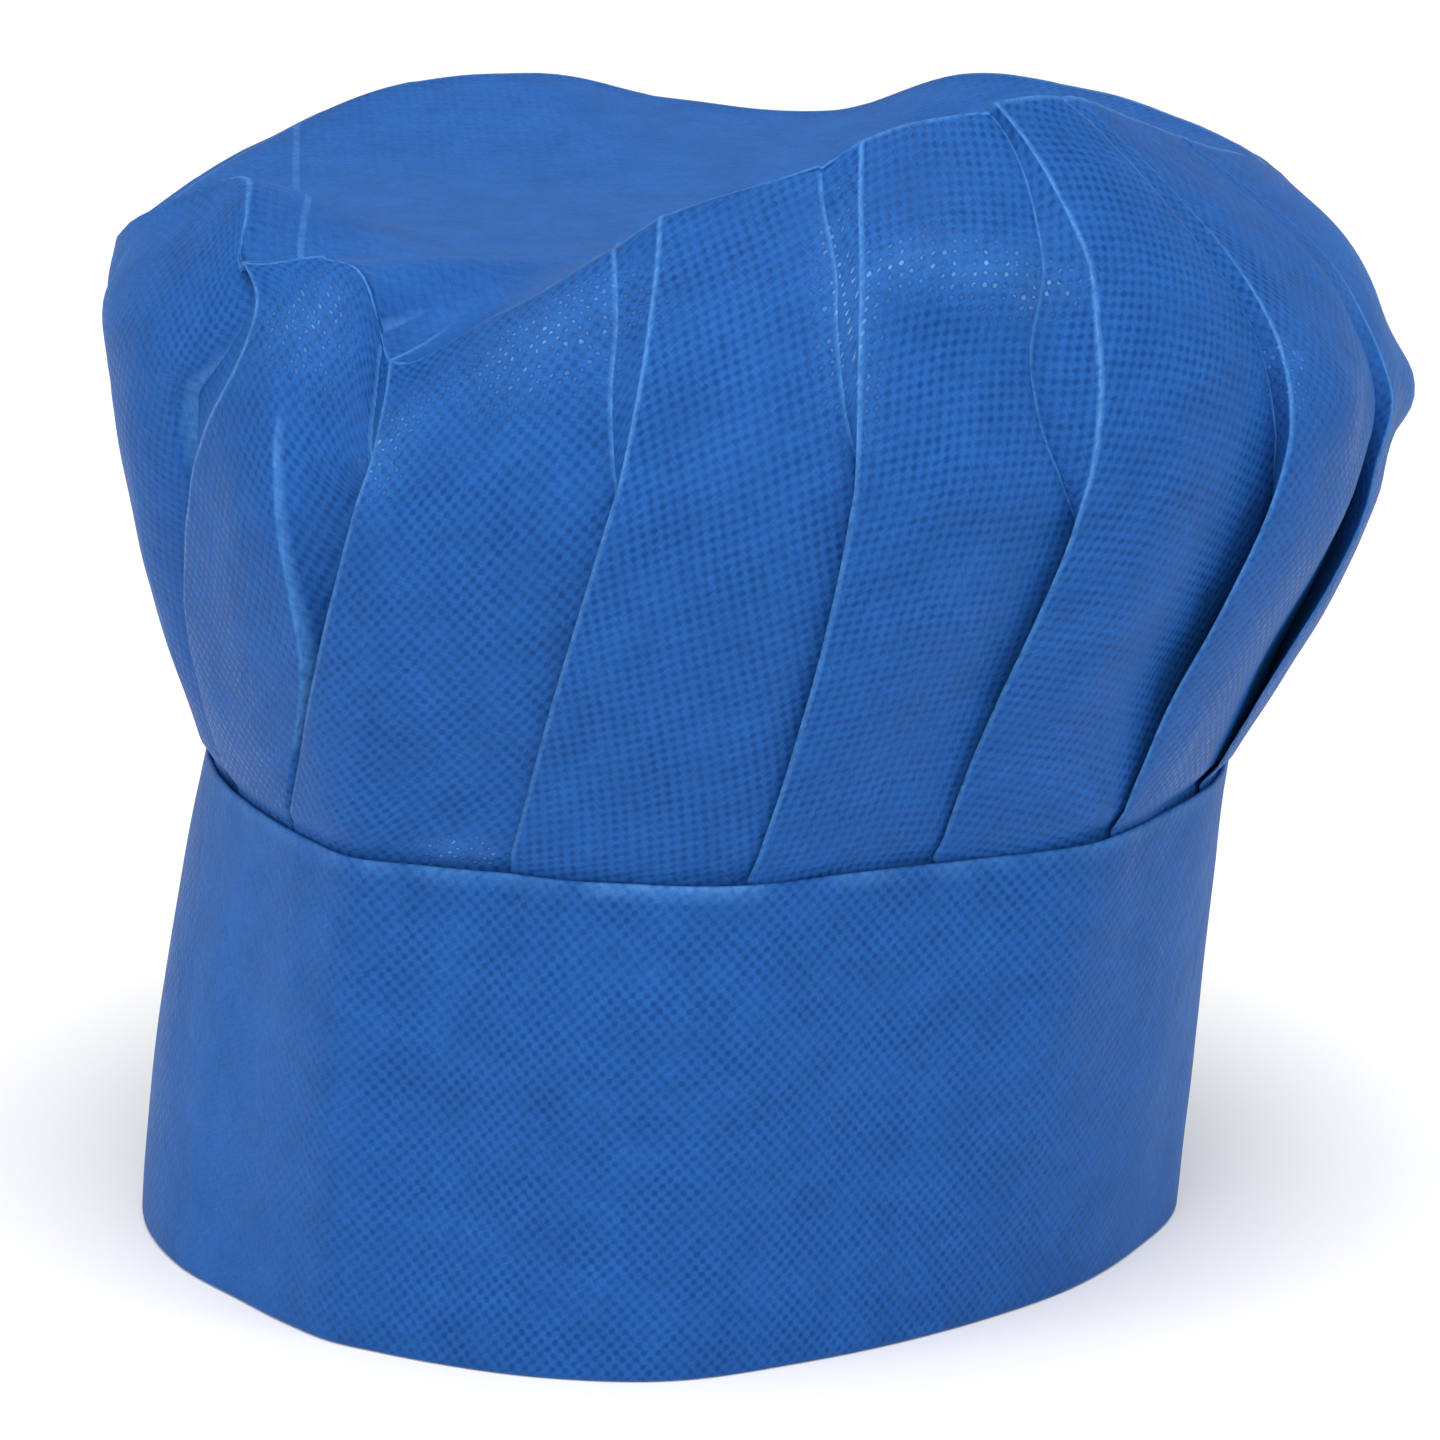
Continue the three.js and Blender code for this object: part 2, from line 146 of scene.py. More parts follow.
CAMERA_TARGET = (-6.0, 0.0, 97.0)
CAMERA_ELEVATION = 15.3      # degrees
CAMERA_DISTANCE = 1.0        # in metres
CAMERA_LENS = 135
CAMERA_SENSOR = 36
SKYLIGHT = ((0.08, -0.3, 1.0), 2.2, 40)       # towards it, strength, degrees across
SOFTBOX_AIM = (0, 0, 0.12)
SOFTBOXES = (
    # name, place, width and height in metres, power in watts
    ("softbox_left", (-1.0, -0.5, 0.55), 0.24, 0.24, 1.5),
    ("softbox_right", (0.85, -0.6, 0.8), 0.24, 0.24, 1.5),
    ("softbox_front", (-0.15, -1.2, 0.5), 0.9, 0.7, 3.9),
)
WORLD_STRENGTH = 0.55
FLOOR_COLOUR = (0.9, 0.895, 0.89, 1)
FLOOR_REACH = 12.0           # in metres

# ---- tables ----

# Plan of the band: radius at its foot and at the seam, and how far its wall bows out between them.
BAND_SECTIONS = np.array([
    # azimuth, foot, seam, bow
    (-150, 99, 94, 0),
    (-120, 99, 94, 1),
    (-90, 98.5, 93.5, 2.2),
    (-70, 94.5, 92, 1),
    (-58, 91, 92.5, 0),
    (-48, 90.5, 94.4, 0.3),
    (-40, 90.8, 95.8, 0.6),
    (-33, 89.6, 92.6, 0),
    (-24, 89, 90.6, -0.6),
    (-12, 89, 90.2, -0.8),
    (2, 88.4, 90.5, -0.6),
    (17, 84.2, 86.5, 0),
    (32, 82.8, 88, -0.3),
    (46, 84, 93.5, 0),
    (60, 87.8, 93.2, 0),
    (75, 92.4, 95.2, 0),
    (90, 98.6, 96, 0),
    (120, 99, 94.5, 0),
    (150, 99, 94, 0),
    (180, 98, 93.5, -0.6),
])
FOOT, SEAM, BOW = 1, 2, 3

# Soft dents (negative) and swells (positive) of the band.
BAND_DENTS = np.array([
    # azimuth, level, half width in degrees, reach in levels, height
    (-8, 0.66, 17, 0.2, 2.3),
    (-28, 0.45, 9, 0.3, -2),
    (22, 0.5, 10, 0.3, -1),
])

# Sections of the crown. The last column says how softly the cloth rolls over at the ring crease.
CROWN_SECTIONS = np.array([
    # azimuth, belly radius, belly height, ring crease radius, ring crease height, roll
    (-170, 112, 158, 94, 198.5, 0),
    (-155, 114, 160, 98, 204, 0),
    (-140, 115, 162, 103.2, 203.5, 0),
    (-120, 117, 166, 110.8, 196.5, 0.4),
    (-98, 118, 172, 117.6, 186, 0.55),
    (-89, 117, 171, 109, 193, 0.3),
    (-80, 115.5, 170, 92.5, 201, 0),
    (-72, 113, 168.5, 93.5, 198, 0),
    (-64, 110.5, 166, 99, 191.5, 0),
    (-55, 108.8, 162.6, 90.5, 193.5, 0),
    (-49.5, 107.8, 160.3, 88.5, 193, 0),
    (-43, 107, 158, 90, 178, 0),
    (-30, 105, 158, 87, 189, 0.35),
    (-14, 106, 162, 85, 205, 0.3),
    (2, 107, 168, 84, 213, 0),
    (18, 108, 174, 85, 221, 0),
    (35, 110, 176, 86, 223.5, 0),
    (52, 114, 172, 83, 216.8, 0),
    (70, 117, 163, 87.5, 208, 0),
    (90, 117, 156, 92.6, 201, 0.3),
    (112, 117, 156, 92, 201, 0),
    (132, 115, 157, 90, 204.2, 0),
    (152, 113, 158, 90, 205.3, 0),
    (170, 112, 158, 92, 196.5, 0),
])
BELLY_R, BELLY_Z, RIDGE_R, RIDGE_Z, ROLL = 1, 2, 3, 4, 5

# Outer folds of the knife pleats. The lifts are how far the fold stands over its left neighbour.
# The dives are the shares of that neighbour's panel at which it starts to dip under the fold, low and
# high on the side, and the power is how late it sinks. The strips are how wide the pleat stands open,
# high on the side and at the ring crease. The last columns are the levels at which it starts to open
# and at which it starts to change from the one width to the other.
PLEATS = np.array([
    # azimuth at the seam, at the ring crease, low swing, high swing, lift at the belly, at the crease,
    # low dive, high dive, power, strip on the side, strip at the crease, opening level, narrowing level
    (-69.6, -63.5, -2.5, 8, 5, 1.5, 0.6, 0.5, 1.4, 12, 2, 0.18, 0.5),
    (-52.4, -43.5, 6.4, 4.6, 10, 2.6, 0.95, 0.42, 0.6, 4, 5, 0.48, 0.78),
    (-22.5, -10.8, 2.3, 1.8, 2, 0.6, 0.3, 0, 1.4, 5, 8, 0.48, 0.78),
    (4.3, 11.8, 2.1, -1.5, 1.5, 0.6, 0.3, 0, 1.4, 3, 6.5, 0.48, 0.78),
    (26.7, 27.3, -0.7, 5.1, 2.2, 0.4, 0.4, 0.3, 1.4, 9, 0.8, 0.27, 0.62),
    (49.3, 38, -2, 12, 4, -0.8, 0.4, 0.35, 1.2, 5, 3, 0.56, 0.78),
    (70.7, 60, -2, 11, 2.8, -0.9, 0.3, 0.2, 1.4, 5, 2, 0.52, 0.78),
    (93, 88, 0, 6, 2.4, -1.1, 0.2, 0.2, 1.4, 4, 2, 0.52, 0.78),
    (117, 114, 0, 4, 3, -1.1, 0.2, 0, 1.4, 4, 2, 0.52, 0.78),
    (141, 140, 0, 3, 3, -1.1, 0.2, 0, 1.4, 4, 2, 0.52, 0.78),
    (165, 166, 0, 3, 3, -1.1, 0.2, 0, 1.4, 4, 2, 0.52, 0.78),
    (190, 193, 0, 3, 3, -1.1, 0.2, 0, 1.4, 4, 2, 0.52, 0.78),
    (215, 220, 0, 3, 3, -1.1, 0.2, 0, 1.4, 4, 2, 0.52, 0.78),
    (240, 247, 0, 3, 3, -1.1, 0.2, 0, 1.4, 4, 2, 0.52, 0.78),
    (266, 274, 0, 0, 1.6, -1, 0.2, 0, 1.4, 4, 2, 0.52, 0.78),
])
(AT_SEAM, AT_RIDGE, LOW_SWING, HIGH_SWING, BELLY_LIFT, RIDGE_LIFT, LOW_DIVE, HIGH_DIVE, SINK_POWER,
 SIDE_STRIP, RIDGE_STRIP, STRIP_START, STRIP_END) = range(13)

# Soft dents (negative) and swells (positive) of the crown.
DENTS = np.array([
    # azimuth, level, half width in degrees, reach in levels, height
    (88, 0.57, 10, 0.1, 4.2),
    (94, 0.42, 14, 0.11, -3.6),
    (91, 0.49, 12, 0.05, -4.2),
    (-92, 0.38, 22, 0.17, -3.4),
    (-90, 0.64, 16, 0.12, 1.2),
    (84, 0.82, 16, 0.12, 2),
    (-60, 0.5, 7, 0.28, -2),
    (-19, 0.84, 9, 0.07, 1.8),
    (16, 0.8, 8, 0.05, 2),
    (26, 0.74, 8, 0.05, 2.2),
    (22, 0.64, 10, 0.07, -2.2),
    (112, 1.4, 28, 0.3, 3),
])

# Where the crown is crumpled more finely.
CRUMPLES = np.array([
    # azimuth, level, half width in degrees, reach in levels, height
    (72, 0.56, 15, 0.17, 2),
    (-62, 0.5, 12, 0.2, 0.7),
])

# Where painted highlights pale the crown's cloth and put painted glints on its bond points.
PAINTED_HIGHLIGHTS = np.array([
    # azimuth, level, half width in degrees, reach in levels, strength
    (-21, 0.84, 9, 0.09, 0.7),
    (-38, 0.71, 3.5, 0.11, 0.7),
    (-52, 0.84, 5, 0.1, 0.6),
    (8.5, 0.76, 2.4, 0.16, 0.7),
    (14, 0.79, 4, 0.028, 0.8),
    (21, 0.76, 4, 0.028, 0.8),
    (27, 0.72, 4, 0.028, 0.8),
    (53, 0.6, 3, 0.06, 0.4),
    (-28, 0.02, 4, 0.02, 1),
])

# Where a painted sheen pales the cloth and hides its bond points, besides the top of the crown.
CROWN_PAINTED_SHEEN = np.array([
    # azimuth, level, half width in degrees, reach in levels, strength
    (-100, 0.7, 20, 0.6, 0.75),
    (84, 0.72, 14, 0.25, 0.7),
])
BAND_PAINTED_SHEEN = np.array([
    (-64, 0.5, 19, 3, 0.8),
    (80, 0.5, 15, 3, 0.65),
])
TOP_PAINTED_SHEEN = 0.65
TOP_PAINTED_SHEEN_REACH = 0.06      # levels of the top over which that starts

# ---- mesh density ----

PANEL_COLUMNS = 18
BRINK_COLUMN = 2 + PANEL_COLUMNS // 2
UNDERLAY_COLUMNS = 6
UNDERLAY_EDGES = (0.08, 0.93)  # shares of the underlay at which its first and last columns lie
SIDE_ROWS = 60
FIRST_ROW = 0.006            # level of the row just over the seam
TOP_ROWS = 22
POLE_GAP = 0.025             # levels of the top inside its last row
RIDGE_RADIUS = 90            # about that of the ring crease, for the width of its pale line
UV_BLEND = 0.12              # levels below the ring crease over which the panels' own flat cuts merge
NORMAL_STEP = 0.01           # levels on each side between which a normal is taken
BAND_COLUMNS = 264
BAND_TURNED_ROWS = 5         # rows of the edge turned in, behind each ply
BAND_OUTER_ROWS = 34
BAND_FOOT_ROWS = 9
BAND_INNER_ROWS = 22


# ---- curves ----

def smooth(x):
    t = np.clip(x, 0, 1)
    return t * t * (3 - 2 * t)


def hermite(p0, m0, p1, m1, t):
    """Cubic from p0 to p1 with end slopes m0 and m1."""
    t2 = t * t
    t3 = t2 * t
    return (2 * t3 - 3 * t2 + 1) * p0 + (t3 - 2 * t2 + t) * m0 + (3 * t2 - 2 * t3) * p1 + (t3 - t2) * m1


def around(rows, column, azimuth):
    """Smooth closed curve through one column of a table of sections."""
    a = np.concatenate([rows[-2:, 0] - 360, rows[:, 0], rows[:2, 0] + 360])
    v = np.concatenate([rows[-2:, column], rows[:, column], rows[:2, column]])
    slope = np.zeros_like(v)
    slope[1:-1] = (v[2:] - v[:-2]) / (a[2:] - a[:-2])
    wrapped = (np.asarray(azimuth, float) - a[2]) % 360 + a[2]
    i = np.clip(np.searchsorted(a, wrapped, side="right") - 1, 1, len(a) - 3)
    span = a[i + 1] - a[i]
    return hermite(v[i], slope[i] * span, v[i + 1], slope[i + 1] * span, (wrapped - a[i]) / span)


def dent(table, azimuth, level):
    total = np.zeros_like(azimuth + level)
    for centre, at, width, reach, height in table:
        x = ((azimuth - centre + 540) % 360 - 180) / width
        y = (level - at) / reach
        total = total + height * np.exp(-x * x - y * y)
    return total


def place(azimuth, radius, height):
    """Points at a radius from the hat's axis, which leans below the crown."""
    a = np.radians(azimuth)
    lean = 1 - np.clip(np.asarray(height, float) / LEAN_HEIGHT, 0, 1)
    x = LEAN[0] * lean + radius * np.sin(a)
    y = LEAN[1] * lean - radius * np.cos(a)
    return np.stack(np.broadcast_arrays(x, y, height), -1)


def ripple(points, scale, seed):
    """Smooth noise in -1..1, the same for layers of cloth that lie on each other."""
    offset = Vector((seed * 7.3, seed * 3.1, seed * 5.7))
    flat = points.reshape(-1, 3) / scale
    values = [noise.noise(Vector(p) + offset) for p in flat]
    return np.array(values).reshape(points.shape[:-1])


def waves(table, points):
    return sum(height * ripple(points, length, seed) for height, length, seed in table)


# ---- band ----

def band_radius(azimuth, level):
    foot = around(BAND_SECTIONS, FOOT, azimuth)
    seam = around(BAND_SECTIONS, SEAM, azimuth)
    bow = around(BAND_SECTIONS, BOW, azimuth)
    hold = smooth(level / FOOT_HOLD)
    dents = dent(BAND_DENTS, azimuth, level) * hold * smooth((1 - level) / FOOT_HOLD)
    return foot + (seam - foot) * level + bow * 4 * level * (1 - level) + dents


def frame_shift():
    """From the shape's own axes to the frame's, whose origin is the middle of the hat's box."""
    azimuth, level = np.meshgrid(np.arange(90) * 4.0 - 180, np.linspace(0, 1, 6), indexing="ij")
    own = place(azimuth, band_radius(azimuth, level), SEAM_HEIGHT * level).reshape(-1, 3)
    low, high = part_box("head_band")
    middle = np.array([low[0] + high[0], low[1] + high[1], 0.0]) / 2 / MM
    return middle - np.array([*(own.min(0) + own.max(0))[:2], 0.0]) / 2


SHIFT = frame_shift()


def band_section():
    """The band's cross-section as a run of cloth: (inset from the outer face, height). It starts at the
    raw edge turned in behind the outer ply, goes down that ply, round the foot and up the inner ply, and
    ends at the edge turned in behind it."""
    outer = CLOTH / 2
    top = SEAM_HEIGHT - outer
    raw_edge = SEAM_HEIGHT - TURN_IN
    ply_top = top - 0.7
    ply_foot = 2.2
    run = [(outer + CLOTH * 1.25, z) for z in np.linspace(raw_edge, top - 0.5, BAND_TURNED_ROWS)]
    run += [(outer + CLOTH * 0.95, top - 0.12), (outer + CLOTH * 0.5, top), (outer + 0.06, top - 0.14)]
    run += [(outer, z) for z in np.linspace(ply_top, ply_foot, BAND_OUTER_ROWS)]
    radius = (FOOT_DEPTH - outer) / 2
    for a in np.linspace(0, np.pi, BAND_FOOT_ROWS):
        run.append(((FOOT_DEPTH + outer) / 2 - radius * np.cos(a), outer + radius * (1 - np.sin(a))))
    for z in np.linspace(ply_foot, ply_top, BAND_INNER_ROWS):
        run.append((FOOT_DEPTH + (TOP_DEPTH - FOOT_DEPTH) * smooth(z / SEAM_HEIGHT), z))
    run += [(TOP_DEPTH - 0.06, top - 0.14), (TOP_DEPTH - CLOTH * 0.5, top)]
    run += [(TOP_DEPTH - CLOTH * 1.1, z) for z in np.linspace(top - 0.3, raw_edge, BAND_TURNED_ROWS)]
    return np.array(run)


def make_band():
    section = band_section()
    lap = math.degrees(LAP / LAP_RADIUS)
    azimuth = np.linspace(180 - 360 - lap / 2, 180 + lap / 2, BAND_COLUMNS)
    A, inset = np.meshgrid(azimuth, section[:, 0], indexing="ij")
    Z = np.meshgrid(azimuth, section[:, 1], indexing="ij")[1]
    radius = band_radius(A, np.clip(Z / SEAM_HEIGHT, 0, 1))
    base = place(A, radius, Z)
    hold = smooth(Z / FOOT_CALM)
    edge = smooth((Z - EDGE_START) / EDGE_REACH)
    wave = (1 - edge) * hold * waves(BAND_WAVES, base)
    pucker = edge * waves(BAND_PUCKERS, base)
    # The free end of the strip laps over its other end. Its face is outside on the outer ply and inside
    # on the inner one.
    foot = np.argmin(section[:, 1])
    face = np.where(np.arange(len(section)) <= foot, 1.0, -1.0)
    over = LAP_LIFT * smooth((A - (180 - lap * 0.9)) / (lap * 0.5)) * face[None, :]
    under = -LAP_TUCK * smooth(((180 - 360 + lap * 0.6) - A) / (lap * 0.5))
    R = radius - inset + wave + pucker + over + under
    Z = Z + edge * hold * waves(RIM_WAVES, base) * smooth((Z - RIM_START) / RIM_REACH)
    points = place(A, R, Z)
    step = np.diff(section, axis=0)
    along = np.concatenate([[0], np.cumsum(np.hypot(step[:, 0], step[:, 1]))])
    u = np.radians(A) * (PERIMETER / (2 * math.pi))
    uv = np.stack([u, np.broadcast_to(along[None, :], u.shape)], -1) * MM
    # A pale line along the upper edge, worn cloth with a painted highlight, palest near the front, and
    # one along the foot fold.
    front = EDGE_WEAR_AND_HIGHLIGHT_LEAST + (1 - EDGE_WEAR_AND_HIGHLIGHT_LEAST) * np.exp(-((A - EDGE_WEAR_AND_HIGHLIGHT_AT) / EDGE_WEAR_AND_HIGHLIGHT_WIDTH) ** 2)
    worn_and_highlit = np.clip(EDGE_WEAR_AND_HIGHLIGHT + waves(EDGE_WEAR_AND_HIGHLIGHT_WAVES, base), 0, 1) * front
    rows = slice(EDGE_ROW, EDGE_ROW + len(EDGE_PALE))
    crease = np.zeros_like(u)
    crease[:, rows] = np.array(EDGE_PALE)[None, :] * worn_and_highlit[:, rows]
    crease[:, foot - 2:foot + 3] = FOOT_PALE
    # The band gets no painted highlights, and a painted sheen on its sides.
    wear_and_light = {"crease": crease, "rubbed": 0 * crease, "napped": dent(BAND_PAINTED_SHEEN, A, Z / SEAM_HEIGHT)}
    quads = grid_faces(*u.shape)
    return cloth_object("band_cloth_strip", points, quads, uv.reshape(-1, 2)[quads], wear_and_light)


# ---- crown ----

def side_profile(azimuth, level):
    seam_r = around(BAND_SECTIONS, SEAM, azimuth)
    belly_r = around(CROWN_SECTIONS, BELLY_R, azimuth)
    belly_z = around(CROWN_SECTIONS, BELLY_Z, azimuth)
    ridge_r = around(CROWN_SECTIONS, RIDGE_R, azimuth)
    ridge_z = around(CROWN_SECTIONS, RIDGE_Z, azimuth)
    foot_z = SEAM_HEIGHT + SEAM_GAP
    flare = belly_r - seam_r
    climb = belly_z - foot_z
    tuck = ridge_r - belly_r
    rest = ridge_z - belly_z
    slope = BELLY_SLOPE * (flare / climb + tuck / rest)
    low = level / BELLY_LEVEL
    high = (level - BELLY_LEVEL) / (1 - BELLY_LEVEL)
    below = level < BELLY_LEVEL
    r = np.where(below, hermite(seam_r, SEAM_FLARE * flare, belly_r, slope * climb, low),
                 hermite(belly_r, slope * BELLY_RISE * rest, ridge_r, RIDGE_TUCK * tuck, high))
    z = np.where(below, hermite(foot_z, climb, belly_z, climb, low),
                 hermite(belly_z, BELLY_RISE * rest, ridge_z, RIDGE_RISE * rest, high))
    return r, z


def calm_ridge(azimuth, column):
    """The ring crease without its steps, for the middle of the top."""
    return sum(around(CROWN_SECTIONS, column, azimuth + turn) for turn in CALM_TURNS) / len(CALM_TURNS)


def top_profile(azimuth, level):
    s = 2 - level
    hold = smooth((s - DISH_CALM) / DISH_REACH)
    ridge_r = calm_ridge(azimuth, RIDGE_R) * (1 - hold) + around(CROWN_SECTIONS, RIDGE_R, azimuth) * hold
    ridge_z = calm_ridge(azimuth, RIDGE_Z) * (1 - hold) + around(CROWN_SECTIONS, RIDGE_Z, azimuth) * hold
    dish = DISH_CONE * s + (1 - DISH_CONE) * s ** DISH_POWER
    return ridge_r * s, TOP_CENTRE_HEIGHT + (ridge_z - TOP_CENTRE_HEIGHT) * dish


def sharp_profile(azimuth, level):
    side_r, side_z = side_profile(azimuth, np.clip(level, 0, 1))
    top_r, top_z = top_profile(azimuth, np.clip(level, 1, 2))
    return np.where(level <= 1, side_r, top_r), np.where(level <= 1, side_z, top_z)


def crown_profile(azimuth, level):
    """Radius and height of the crown, with the ring crease rolled where its section says so."""
    near = smooth(1 - np.abs(level - 1) / ROLL_REACH)
    ease = ROLL_EASE * near * around(CROWN_SECTIONS, ROLL, azimuth)
    below_r, below_z = sharp_profile(azimuth, level - ease)
    above_r, above_z = sharp_profile(azimuth, level + ease)
    return (below_r + above_r) / 2, (below_z + above_z) / 2


def crown_points(azimuth, level, offset):
    """Points of the crown, moved along the cloth's own normal."""
    r, z = crown_profile(azimuth, level)
    above_r, above_z = crown_profile(azimuth, np.minimum(level + NORMAL_STEP, 2))
    below_r, below_z = crown_profile(azimuth, np.maximum(level - NORMAL_STEP, 0))
    tangent = np.maximum(np.hypot(above_r - below_r, above_z - below_z), 1e-6)
    normal_r = (above_z - below_z) / tangent
    normal_z = (below_r - above_r) / tangent
    away = smooth(level / SEAM_HOLD)
    base = place(azimuth, r, z)
    out = offset + dent(DENTS, azimuth, level) * away
    out = out + away * waves(CROWN_WAVES, base)
    out = out + dent(CRUMPLES, azimuth, level) * waves(CRUMPLE_WAVES, base)
    out = out - SEAM_SET * (1 - smooth(level / SEAM_SET_REACH))
    return place(azimuth, r + normal_r * out, z + normal_z * out)


def fold_azimuth(index, level):
    pleat = PLEATS[index % len(PLEATS)]
    v = np.clip(level, 0, 1)
    turn = 360 * (index // len(PLEATS))
    lean = FOLD_EASE * smooth(v) + (1 - FOLD_EASE) * v
    swing = FULL_SWING * v * (1 - v) * (pleat[LOW_SWING] * (1 - v) + pleat[HIGH_SWING] * v)
    return pleat[AT_SEAM] + (pleat[AT_RIDGE] - pleat[AT_SEAM]) * lean + swing + turn


def fold_depth(pleat, level):
    high = smooth((level - RIDGE_LIFT_START) / RIDGE_LIFT_REACH)
    belly = pleat[BELLY_LIFT] * smooth(level / BELLY_LIFT_LEVEL) * (1 - high)
    fade = 1 - smooth((level - 1) / (PLY_FADE + LIFT_FADE * max(pleat[RIDGE_LIFT], 0)))
    return (PLY_GAP + belly + pleat[RIDGE_LIFT] * high) * fade


def underlap(pleat, level):
    """How far a panel runs on under its neighbour; negative where the pleat stands open."""
    v = np.clip(level, 0, 1)
    closed = UNDERLAP * (1 - smooth(v / UNDERLAP_END))
    side = pleat[SIDE_STRIP] * smooth((v - pleat[STRIP_START]) / SIDE_OPENING)
    narrowed = smooth((v - pleat[STRIP_END]) / (1 - pleat[STRIP_END]))
    opened = side + (pleat[RIDGE_STRIP] - pleat[SIDE_STRIP]) * narrowed
    fade = 1 - smooth((level - 1) / TOP_STRIP_REACH)
    return (closed - opened) * fade - TOP_STRIP * (1 - fade)


def crown_levels():
    side = np.linspace(0, 1, SIDE_ROWS)[1:-1]
    top = 1 + np.linspace(0, 1 - POLE_GAP, TOP_ROWS)[1:]
    fine = CREASE / RIDGE_RADIUS
    return np.concatenate([[0, FIRST_ROW], side, [1 - fine, 1, 1 + fine], top])


def crown_columns(index, level):
    """Columns of one pleat's cloth: azimuth, offset and crease strength at each level. They run from its
    outer fold across its panel, under the next pleat and back out to that pleat's outer fold."""
    start = fold_azimuth(index, level)
    end = fold_azimuth(index + 1, level)
    following = PLEATS[(index + 1) % len(PLEATS)]
    depth = fold_depth(following, level)
    low = smooth((DIVE_LEVEL - level) / DIVE_REACH)
    dive = following[HIGH_DIVE] + (following[LOW_DIVE] - following[HIGH_DIVE]) * low
    pressed = np.clip(fold_depth(PLEATS[index % len(PLEATS)], level) / PRESSED_DEPTH, 0, 1)
    wrinkle = WRINKLE * smooth((depth - WRINKLE_DEPTH) / WRINKLE_REACH)
    wrinkle = wrinkle * smooth((WRINKLE_END[0] - level) / WRINKLE_END[1])
    bulge = BULGE * smooth(level / BULGE_START) * smooth((1 - level) / BULGE_END)
    per_mm = np.degrees(1 / around(CROWN_SECTIONS, RIDGE_R, end))
    valley = end + underlap(following, level) * per_mm
    edge = CREASE * per_mm / (valley - start)
    half = np.linspace(0, 1, PANEL_COLUMNS // 2 + 1)[1:]
    brink = np.clip(dive * (end - start) / (valley - start), *BRINK_RANGE)
    steps = [0 * level, edge] + [edge + (brink - 2 * edge) * t for t in half] + [brink]
    steps += [brink + edge + (1 - brink - 2 * edge) * t for t in [0, *half]]
    columns = []
    for j, t in enumerate(steps):
        azimuth = start + (valley - start) * t
        across = (azimuth - start) / (end - start)
        sink = np.clip((across - dive) / (1 - dive), 0, 1) ** following[SINK_POWER]
        swell = bulge * np.sin(math.pi * np.clip(across, 0, 1) ** BULGE_SKEW)
        crease = pressed if j == 0 else wrinkle if j == BRINK_COLUMN else 0.0
        columns.append((azimuth, swell - depth * sink, crease))
    inner = np.linspace(0, 1, UNDERLAY_COLUMNS + 2)[1:-1]
    for j, t in enumerate([0, UNDERLAY_EDGES[0], *inner, UNDERLAY_EDGES[1]]):
        azimuth = valley + (end - valley) * t
        columns.append((azimuth, -depth * (1 - t), VALLEY_PRESSED * pressed if j == 0 else 0.0))
    return columns


def pleat_points(index, level):
    """Points of one pleat's cloth, their azimuths, and their wear and painted light. Its first rows are
    sewn in.
    """
    azimuth, offset, crease = (np.array([np.broadcast_to(part, level.shape) for part in parts])
                               for parts in zip(*crown_columns(index, level)))
    points = crown_points(azimuth, np.broadcast_to(level, azimuth.shape), offset)
    sewn = points[:, :1] + np.array([0, 0, -1.0]) * np.array(SEWN_DEPTHS)[None, :, None]
    # Pale fold lines, whitened with a painted highlight, painted highlights and glints, and painted sheen
    # on the top and in places.
    wear_and_light = {"crease": np.maximum(crease * crease_fade(level), ring_crease(azimuth, level)),
            "rubbed": dent(PAINTED_HIGHLIGHTS, azimuth, level),
            "napped": np.maximum(dent(CROWN_PAINTED_SHEEN, azimuth, level),
                                 TOP_PAINTED_SHEEN * smooth((level - 1) / TOP_PAINTED_SHEEN_REACH))}
    unmarked = np.zeros((len(azimuth), len(SEWN_DEPTHS)))
    wear_and_light = {key: np.concatenate([unmarked, values], 1) for key, values in wear_and_light.items()}
    return np.concatenate([sewn, points], 1), azimuth, wear_and_light


def crease_fade(level):
    return np.where(level <= 1, 1.0, 1 - smooth((level - 1) / CREASE_FADE))


def ring_crease(azimuth, level):
    pressed = 1 - ROLLED_LOSS * np.clip(around(CROWN_SECTIONS, ROLL, azimuth), 0, 1)
    return np.where(np.abs(level - 1) < 1e-6, RING_PRESSED, 0.0)[None, :] * pressed


def arc_lengths(points, axis):
    step = np.linalg.norm(np.diff(points, axis=axis), axis=-1)
    pad = np.zeros_like(np.take(step, [0], axis))
    return np.concatenate([pad, np.cumsum(step, axis)], axis)


def pleat_uv(points, azimuth, level):
    """Where each point of a pleat lay in the flat round cut: at its distance along the cloth from the
    centre, and turned from the middle of its own panel by its distance from there."""
    sewn = len(SEWN_DEPTHS)
    up = arc_lengths(points, 1)
    reach = up[:, -1:] - up + POLE_GAP * RIDGE_RADIUS
    across = arc_lengths(points, 0)
    side = across - across[BRINK_COLUMN:BRINK_COLUMN + 1]
    ridge_row = sewn + int(np.argmin(np.abs(level - 1)))
    full = np.concatenate([np.repeat(azimuth[:, :1], sewn, 1), azimuth], 1)
    along_panel = full[BRINK_COLUMN, ridge_row] + np.degrees(side / reach)
    rows = np.concatenate([np.zeros(sewn), level])
    blend = smooth((1.0 - rows) / UV_BLEND)[None, :]
    turn = np.radians(along_panel * blend + full * (1 - blend))
    return np.stack([reach * np.sin(turn), reach * np.cos(turn)], -1) * MM


